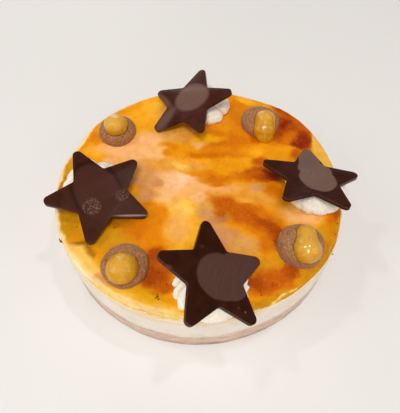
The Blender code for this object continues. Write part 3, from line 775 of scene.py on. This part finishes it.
def build_star(side, place):
    name = "chocolate_plate_" + side
    curve = bpy.data.curves.new(name, "CURVE")
    curve.dimensions = "2D"
    curve.fill_mode = "BOTH"
    curve.extrude = STAR_THICKNESS / 2
    outline = star_outline(place["share"])
    spline = curve.splines.new("POLY")
    spline.points.add(len(outline) - 1)
    for point, corner in zip(spline.points, outline):
        point.co = (corner.x, corner.y, 0.0, 1.0)
    spline.use_cyclic_u = True
    guide = bpy.data.objects.new(name, curve)
    bpy.context.scene.collection.objects.link(guide)
    weld = guide.modifiers.new("Weld", "WELD")
    weld.merge_threshold = 1e-5
    bevel = guide.modifiers.new("Bevel", "BEVEL")
    bevel.width = STAR_BEVEL
    bevel.segments = 4
    bevel.limit_method = "ANGLE"
    bevel.angle_limit = EDGE_ANGLE
    bpy.context.view_layer.update()
    mesh = bpy.data.meshes.new_from_object(guide.evaluated_get(bpy.context.evaluated_depsgraph_get()))
    bpy.data.objects.remove(guide, do_unlink=True)
    own = mesh.attributes.new("plate", "FLOAT_VECTOR", "POINT")
    own.data.foreach_set("vector", np.array([v.co / MM for v in mesh.vertices], float).ravel())
    # Painted highlight: a thin lighter line on the bevel just under the top face, at this height.
    edge_highlight, spread = STAR_THICKNESS / 2 - 0.00022, 0.0002
    set_values(mesh, "edge", [max(0.0, 1 - abs(v.co.z - edge_highlight) / spread) for v in mesh.vertices])
    mesh.transform(star_matrix(place))
    mesh.name = name
    new_piece(name, mesh, chocolate_material(side), ["chocolate_star_" + side])
    mesh.set_sharp_from_angle(angle=EDGE_ANGLE)


def chocolate_material(side):
    sheen_and_shade = STAR_SHEEN_AND_SHADE[side]
    material, tree, shader = new_material(
        "dark_chocolate_" + side, Roughness=0.30, Specular_IOR_Level=0.10)
    plate = add(tree, "Attribute", attribute_name="plate").outputs["Vector"]
    cloud = noise_of(tree, plate, 0.10, 4, 0.6)
    fine = noise_of(tree, plate, 1.1, 3, 0.6)

    def disc(x, y, rx, ry, turn, soft):
        local = add(tree, "Mapping", {"Vector": plate, "Location": (x, y, 0),
                                      "Rotation": (0, 0, math.radians(turn)),
                                      "Scale": (rx, ry, 1000.0)}, vector_type="TEXTURE").outputs[0]
        away = add(tree, "VectorMath", {0: local}, operation="LENGTH").outputs["Value"]
        return level(tree, swayed(tree, away, cloud, 0.15), 1 - soft, 1 + soft, 1.0, 0.0)

    colour = mix(tree, level(tree, cloud, 0.3, 0.7), *(srgb(tone) for tone in sheen_and_shade["tones"]))
    streak_place = add(tree, "Mapping", {"Vector": plate, "Rotation": (0, 0, math.radians(60)),
                                         "Scale": (14.0, 0.8, 1.0)}, vector_type="TEXTURE").outputs[0]
    streaks = noise_of(tree, streak_place, 1.0, 3, 0.6)
    patch = None
    # The joined discs: a painted reflection on the front, back and right stars, a painted shade on the left
    # star.
    for place in sheen_and_shade["discs"]:
        mask = disc(*place)
        patch = mask if patch is None else maths(tree, "MAXIMUM", patch, mask)
    patch_tone = mix(tree, level(tree, streaks, 0.35, 0.65), srgb(sheen_and_shade["colour"]),
               [value * 0.87 for value in srgb(sheen_and_shade["colour"])])
    colour = mix(tree, patch, colour, patch_tone)
    for x, y, rx, ry, turn, soft, code, strength, speckled in sheen_and_shade["marks"]:
        mask = maths(tree, "MULTIPLY", disc(x, y, rx, ry, turn, soft), strength)
        if speckled:
            mask = maths(tree, "MULTIPLY", mask, level(tree, fine, 0.46, 0.66))
        colour = mix(tree, mask, colour, srgb(code))
    specks = level(tree, noise_of(tree, plate, 2.2, 2, 0.5), 0.76, 0.82, 0.0, 0.4)
    colour = mix(tree, specks, colour, srgb("#8a6c60"))
    # Painted highlight along the top bevel of each star, broken up by the cloud.
    edge_highlight = maths(tree, "MULTIPLY", read_value(tree, "edge"), level(tree, cloud, 0.40, 0.60, 0.1, 0.6))
    colour = mix(tree, edge_highlight, colour, srgb("#9a8378"))
    tree.links.new(colour, shader.inputs["Base Color"])
    tree.links.new(level(tree, cloud, 0.3, 0.7, 0.26, 0.36), shader.inputs["Roughness"])
    bump(tree, shader, [(cloud, 0.0002), (fine, 0.00002)])
    return material


# ---------------------------------------------------------------- piped cream

ROSETTE_HEIGHT = 0.0190
ROSETTE_DEPTH = 0.0044
ROSETTE_TWIST = math.radians(38)
ROSETTE_PROFILE = [(0.0, 1.0), (0.22, 0.96), (0.42, 0.85), (0.62, 0.70), (0.80, 0.54),
                   (0.93, 0.38), (0.99, 0.22), (0.97, 0.09), (0.90, 0.0)]
# Each swirl's ridges: how many, how round from a sawtooth (0) to soft lobes (1), and the
# sectors (from degrees, to degrees, share of the depth kept) where the cream is pressed smooth.
# Bulges are (at degrees, half width in degrees, height in metres), and flat_back is the share
# by which the far side is drawn in
ROSETTE_PLACES = {
    "front": {"centre": (0.0082, -0.0866), "radius": 0.0262, "turn": 8.0, "flutes": 20,
              "round": 0.0, "folds": 0.25, "smooth": [(-125, -48, 0.10), (-20, 30, 0.4)]},
    "left": {"centre": (-0.0787, -0.0058), "radius": 0.0250, "turn": 15.0, "flutes": 14,
             "round": 0.1, "folds": 0.5, "smooth": [(55, 90, 0.35)],
             "bulges": [(104, 18, 0.0024), (150, 9, 0.0010)]},
    "back": {"centre": (0.0010, 0.0856), "radius": 0.0272, "turn": 15.0, "flutes": 8,
             "round": 0.8, "folds": 1.0, "smooth": [], "flat_back": 0.10},
    "right": {"centre": (0.0890, -0.0084), "radius": 0.0242, "turn": 8.0, "flutes": 13,
              "round": 0.5, "folds": 0.7, "smooth": [(-170, -10, 0.22)]},
}


def ridge(angle, flutes, roundness):
    """Depth of the groove at an angle, 0 on a crest and 1 in a groove."""
    share = (angle * flutes / math.tau) % 1.0
    tooth = 1 - share / 0.66 if share < 0.66 else (share - 0.66) / 0.34
    lobe = 1 - math.sqrt(max(0.0, 1 - (2 * share - 1) ** 2)) ** 0.8
    return tooth * (1 - roundness) + lobe * roundness


def rosette_curve(count):
    """Points down the swirl's side, evenly along a smooth line through the profile."""
    xs = np.array([p[0] for p in ROSETTE_PROFILE])
    zs = np.array([p[1] for p in ROSETTE_PROFILE])
    along = np.concatenate([[0], np.cumsum(np.hypot(np.diff(xs), np.diff(zs)))])
    even = np.linspace(0, along[-1], count)
    return list(zip(np.interp(even, along, xs), np.interp(even, along, zs)))


def build_rosette(side, place, material):
    """A piped swirl, flattened where its star lies on it."""
    star = star_matrix(STAR_PLACES[side])
    under = star @ Vector((0, 0, -STAR_THICKNESS / 2 - GAP))
    normal = star.to_3x3() @ Vector((0, 0, 1))
    foot = Vector((*place["centre"], CAKE_HEIGHT + GAP))
    rings, steps = 60, 300
    grooves = []

    def point(entry, degrees):
        out_share, up_share = entry
        a = math.radians(degrees)
        keep = 1.0
        for start, end, kept in place["smooth"]:
            middle, half = (start + end) / 2, (end - start) / 2
            apart = turn_between(degrees, middle)
            keep *= kept + (1 - kept) * float(smoothstep(half - 5, half + 5, apart))
        spot = around(0.02, degrees, up_share * ROSETTE_HEIGHT)
        turn = ROSETTE_TWIST * up_share ** 2 - math.radians(place["turn"])
        turn += 0.10 * fbm(spot, 0.012, 2, 64.0 + place["turn"])
        groove = ridge(a + turn, place["flutes"], place["round"])
        grooves.append(groove * keep)
        out = out_share * (place["radius"] - ROSETTE_DEPTH * groove * keep - 0.0010 * (1 - keep))
        for middle, half, height in place.get("bulges", []):
            out += out_share * height * float(smoothstep(half, 0, turn_between(degrees, middle)))
        out *= 1 - place.get("flat_back", 0.0) * max(0.0, math.sin(a))
        p = foot + around(out, degrees, spot.z)
        crease = Vector((spot.x, spot.y, 0.35 * spot.z + 0.004 * a))
        rough = 0.0013 * place["folds"] * fbm(p, 0.009, 2, 70.0) + 0.00018 * fbm(p, 0.0030, 3, 75.0)
        rough += 0.00030 * fbm(crease, 0.0022, 2, 80.0) * (1 - up_share)
        p += around(1.0, degrees, 0.3) * rough
        plane = under.z - (normal.x * (p.x - under.x) + normal.y * (p.y - under.y)) / normal.z
        sunk = 0.0009 * max(0.0, 1 - up_share / 0.08)
        return p.x, p.y, min(p.z, plane) - sunk

    name = "piped_cream_" + side
    mesh = polar_mesh(name, ring_rows(rosette_curve(rings)[1:], steps, point))
    set_values(mesh, "groove", grooves)
    new_piece(name, mesh, material, ["cream_rosette_" + side])


def whipped_material():
    material, tree, shader = new_material(
        "piped_whipped_cream", Roughness=0.5, Subsurface_Weight=0.4,
        Subsurface_Radius=(0.006, 0.004, 0.0022), Subsurface_Scale=0.5)
    where = position(tree)
    cloud = noise_of(tree, where, 120, 4, 0.6)
    colour = mix(tree, level(tree, cloud, 0.3, 0.75), srgb("#fdf8ee"), srgb("#f5ecdf"))
    # Painted shade: the cream darkens to warm brown in its grooves.
    deep = level(tree, read_value(tree, "groove"), 0.35, 1.0, 0.0, 0.55)
    colour = mix(tree, deep, colour, srgb("#d8bb9c"))
    tree.links.new(colour, shader.inputs["Base Color"])
    streak = add(tree, "Mapping", {"Vector": where, "Scale": (1.0, 1.0, 3.0)}).outputs[0]
    bump(tree, shader, [(noise_of(tree, streak, 420, 3, 0.6), 0.00018), (cloud, 0.0004)])
    return material


# ---------------------------------------------------------------- truffle drops and soft yolk

DROP_SQUARENESS, DROP_BELLY, DROP_FOOT_SHARE, DROP_UNEVENNESS = 2.8, 0.0020, 0.96, 0.0003
SUNK = 0.0008  # how far a drop reaches below its foot, into the glaze
DROP_PLACES = {
    "front_left": {"centre": (-0.0496, -0.0714), "radius": 0.0161, "height": 0.0084, "wave": 11},
    "back_left": {"centre": (-0.0686, 0.0540), "radius": 0.0155, "height": 0.0098, "wave": 12},
    "back_right": {"centre": (0.0526, 0.0645), "radius": 0.0161, "height": 0.0108, "wave": 13},
    "front_right": {"centre": (0.0708, -0.0568), "radius": 0.0163, "height": 0.0128, "wave": 14},
}
YOLK_BLEND, YOLK_REACH = 2.2, 0.035
YOLK_LOBES = {
    "front_left": [((-0.0004, -0.0052, 0.0085), (0.0108, 0.0112, 0.0085))],
    "back_left": [((0.0004, -0.0022, 0.0114), (0.0098, 0.0099, 0.0084))],
    "back_right": [((0.0030, -0.0042, 0.0088), (0.0088, 0.0086, 0.0078)),
                   ((0.0022, -0.0120, 0.0050), (0.0092, 0.0074, 0.0076)),
                   ((0.0030, -0.0160, 0.0010), (0.0062, 0.0062, 0.0050))],
    "front_right": [((0.0024, -0.0062, 0.0090), (0.0102, 0.0100, 0.0086)),
                    ((0.0030, 0.0050, 0.0100), (0.0072, 0.0072, 0.0064))],
}


def build_drop(side, place, material):
    """A squarish dome with a rough, pitted skin."""
    radius, height = place["radius"], place["height"]
    power = 2 / DROP_SQUARENESS
    wave = wobble(place["wave"])
    foot = Vector((*place["centre"], CAKE_HEIGHT + GAP))
    rings, steps = 44, 150
    profile = []
    for ring in range(1, rings + 1):
        a = math.pi / 2 * (1 - ring / rings)
        z = DROP_BELLY + (height - DROP_BELLY) * math.sin(a) ** power
        profile.append((radius * math.cos(a) ** power, z))
    for t in (0.3, 0.6, 0.85, 1.0):
        share = DROP_FOOT_SHARE + (1 - DROP_FOOT_SHARE) * math.sqrt(1 - t * t)
        profile.append((radius * share, DROP_BELLY * (1 - t) - SUNK * t))

    def point(entry, degrees):
        out, up = entry
        share = 1 + DROP_UNEVENNESS * wave(math.radians(degrees)) / radius
        p = foot + around(out * share, degrees, up)
        rough = 0.00016 * fbm(p, 0.004, 4, 90.0) + 0.00009 * fbm(p, 0.0012, 2, 95.0)
        pit = noise.noise(p / 0.0011 + Vector((7.0, 3.0, 1.0)))
        rough -= 0.00022 * max(0.0, pit - 0.38)
        return p + (p - foot).normalized() * rough

    name = "truffle_dome_" + side
    mesh = polar_mesh(name, ring_rows(profile, steps, point))
    # How near each point is to the yolk, for the painted contact shadow under it.
    set_values(mesh, "contact", [lobe_field(v.co - foot, YOLK_LOBES[side]) for v in mesh.vertices])
    new_piece(name, mesh, material, ["truffle_drop_" + side])


def lobe_field(point, lobes):
    """1 on the skin of the yolk that its lobes make together, more inside it."""
    total = 0.0
    for centre, half in lobes:
        spread = sum(((point[i] - centre[i]) / half[i]) ** 2 for i in range(3))
        total += math.exp(-YOLK_BLEND * (spread - 1))
    return total


def build_yolk(side, place, lobes, material):
    """The lobes' common skin, found outwards from the first lobe's middle."""
    work = bmesh.new()
    bmesh.ops.create_uvsphere(work, u_segments=96, v_segments=64, radius=1.0)
    start = Vector(lobes[0][0])
    foot = Vector((*place["centre"], CAKE_HEIGHT + GAP))
    for vertex in work.verts:
        direction = vertex.co.normalized()
        near, far = 0.0, YOLK_REACH
        for _ in range(22):
            middle = (near + far) / 2
            if lobe_field(start + direction * middle, lobes) > 1:
                near = middle
            else:
                far = middle
        p = start + direction * near
        p.z = max(p.z, -SUNK)
        p = foot + p
        p += direction * (0.00022 * fbm(p, 0.0045, 2, 110.0) + 0.00005 * fbm(p, 0.0018, 1, 115.0))
        vertex.co = p
    name = "soft_yolk_" + side
    mesh = bpy.data.meshes.new(name)
    work.to_mesh(mesh)
    work.free()
    new_piece(name, mesh, material, ["yolk_drop_" + side])


def mousse_material():
    material, tree, shader = new_material(
        "porous_truffle", Roughness=0.85, Sheen_Weight=0.12, Sheen_Roughness=0.5)
    where = position(tree)
    cloud = noise_of(tree, where, 150, 4, 0.6)
    grain = noise_of(tree, where, 700, 3, 0.7)
    lines_place = add(tree, "Mapping", {"Vector": where, "Rotation": (0.3, 0.2, 0.9),
                                        "Scale": (0.35, 1.5, 1.5)}).outputs[0]
    lines = noise_of(tree, lines_place, 320, 3, 0.6, 1.2)
    colour = mix(tree, level(tree, cloud, 0.3, 0.7), srgb("#aa7441"), srgb("#986239"))
    colour = mix(tree, level(tree, lines, 0.42, 0.62, 0.0, 0.4), colour, srgb("#7d4a2c"))
    colour = mix(tree, level(tree, grain, 0.50, 0.64, 0.0, 0.6), colour, srgb("#c89a74"))
    pores = level(tree, noise_of(tree, where, 550, 3, 0.7), 0.59, 0.70)
    colour = mix(tree, pores, colour, srgb("#5c331c"))
    # Painted contact shadow: a dark ring on the truffle where the yolk sits on it.
    yolk_contact_shade = level(tree, read_value(tree, "contact"), 0.74, 1.0)
    colour = mix(tree, yolk_contact_shade, colour, srgb("#5c3520"))
    tree.links.new(colour, shader.inputs["Base Color"])
    bump(tree, shader, [(grain, 0.0004), (pores, -0.0002), (lines, 0.0005)])
    return material


def soft_yolk_material():
    material, tree, shader = new_material(
        "glossy_soft_yolk", Roughness=0.35, Specular_IOR_Level=0.12,
        Subsurface_Weight=0.25, Subsurface_Radius=(0.004, 0.002, 0.0005),
        Subsurface_Scale=0.4, Coat_Weight=0.75, Coat_Roughness=0.05)
    where = position(tree)
    cloud = noise_of(tree, where, 260, 4, 0.6)
    height = add(tree, "SeparateXYZ", {"Vector": where}).outputs["Z"]
    colour = mix(tree, level(tree, cloud, 0.3, 0.7), srgb("#d69a04"), srgb("#c08602"))
    # Painted reflection: the yolk turns paler towards its top, which faces the light above.
    upper = level(tree, swayed(tree, height, cloud, 0.008), 0.060, 0.067, 0.0, 0.8)
    colour = mix(tree, upper, colour, srgb("#e4b048"))
    tree.links.new(colour, shader.inputs["Base Color"])
    bump(tree, shader, [(noise_of(tree, where, 300, 1, 0.5), 0.0006)])
    bump(tree, shader, [(noise_of(tree, where, 300, 0, 0.5), 0.0011)], "Coat Normal")
    return material


# ---------------------------------------------------------------- stage

def build_stage():
    floor = bpy.data.meshes.new("floor")
    half = 3.0
    corners = ((-half, -half), (half, -half), (half, half), (-half, half))
    floor.from_pydata([(x, y, -0.0001) for x, y in corners], [], [(0, 1, 2, 3)])
    obj = bpy.data.objects.new("floor", floor)
    bpy.context.scene.collection.objects.link(obj)
    material, tree, shader = new_material("pale_floor", Roughness=0.6)
    where = position(tree)
    tone = mix(tree, noise_of(tree, where, 8, 3, 0.5), srgb("#e6e6e7"), srgb("#e9e9ea"))
    tree.links.new(tone, shader.inputs["Base Color"])
    floor.materials.append(material)


def area_light(name, place, target, size, power, colour="#ffffff"):
    data = bpy.data.lights.new(name, "AREA")
    data.energy = power
    data.color = srgb(colour)
    data.size = size
    light = bpy.data.objects.new(name, data)
    light.location = place
    light.rotation_mode = "QUATERNION"
    light.rotation_quaternion = (Vector(target) - Vector(place)).to_track_quat("-Z", "Y")
    bpy.context.scene.collection.objects.link(light)


# Small lamps: two high up for the sparkles on the drops, and two behind for glints along the rim
SMALL_LIGHTS = {
    "key_left": ((-1.20, 0.40, 1.90), 0.10, 3.4),
    "key_right": ((0.75, 0.40, 2.40), 0.14, 5.0),
    "lamp_back_left": ((-0.60, 1.20, 0.62), 0.10, 0.25),
    "lamp_back_right": ((0.60, 1.20, 0.62), 0.10, 0.25),
}


def build_lights():
    world = bpy.data.worlds.new("studio")
    world.use_nodes = True
    background = world.node_tree.nodes["Background"]
    background.inputs["Color"].default_value = (*srgb("#fff3e2"), 1.0)
    background.inputs["Strength"].default_value = 0.20
    bpy.context.scene.world = world
    area_light("overhead", (-0.20, -1.15, 2.75), (0, 0, 0.04), 0.85, 45.5, "#fffaf2")
    area_light("front_fill", (0.3, -1.9, 0.9), (0, 0, 0.02), 1.4, 7.0, "#fffaf2")
    area_light("left_fill", (-1.5, -0.3, 1.1), (0, 0, 0.04), 1.0, 6.5)
    area_light("right_fill", (1.5, -0.5, 1.3), (0, 0, 0.04), 1.0, 4.5)
    area_light("back_low", (-0.5, 1.7, 0.5), (0, 0, 0.05), 0.8, 4.0, "#fffaf2")
    for name, (place, size, power) in SMALL_LIGHTS.items():
        area_light(name, place, (0, 0, 0.05), size, power)


CAMERA_PLACE = Vector((0.0011, -0.1982, 0.3055))
CAMERA_TARGET = Vector((0.0011, 0.01155, 0.0))
CAMERA_LENS = 36.43


def build_camera():
    data = bpy.data.cameras.new("camera")
    data.lens = CAMERA_LENS
    data.sensor_width = 36.0
    data.clip_start = 0.01
    data.clip_end = 20.0
    camera = bpy.data.objects.new("camera", data)
    camera.location = CAMERA_PLACE
    camera.rotation_mode = "QUATERNION"
    camera.rotation_quaternion = (CAMERA_TARGET - CAMERA_PLACE).to_track_quat("-Z", "Y")
    bpy.context.scene.collection.objects.link(camera)
    bpy.context.scene.camera = camera


def main():
    build_camera()
    build_lights()
    build_stage()
    build_top()
    build_burnt_bits()
    build_sides()
    cream, mousse, yolk = whipped_material(), mousse_material(), soft_yolk_material()
    for side, place in STAR_PLACES.items():
        build_star(side, place)
        build_rosette(side, ROSETTE_PLACES[side], cream)
    for side, place in DROP_PLACES.items():
        build_drop(side, place, mousse)
        build_yolk(side, place, YOLK_LOBES[side], yolk)
    bpy.context.scene.view_settings.view_transform = "Standard"


main()
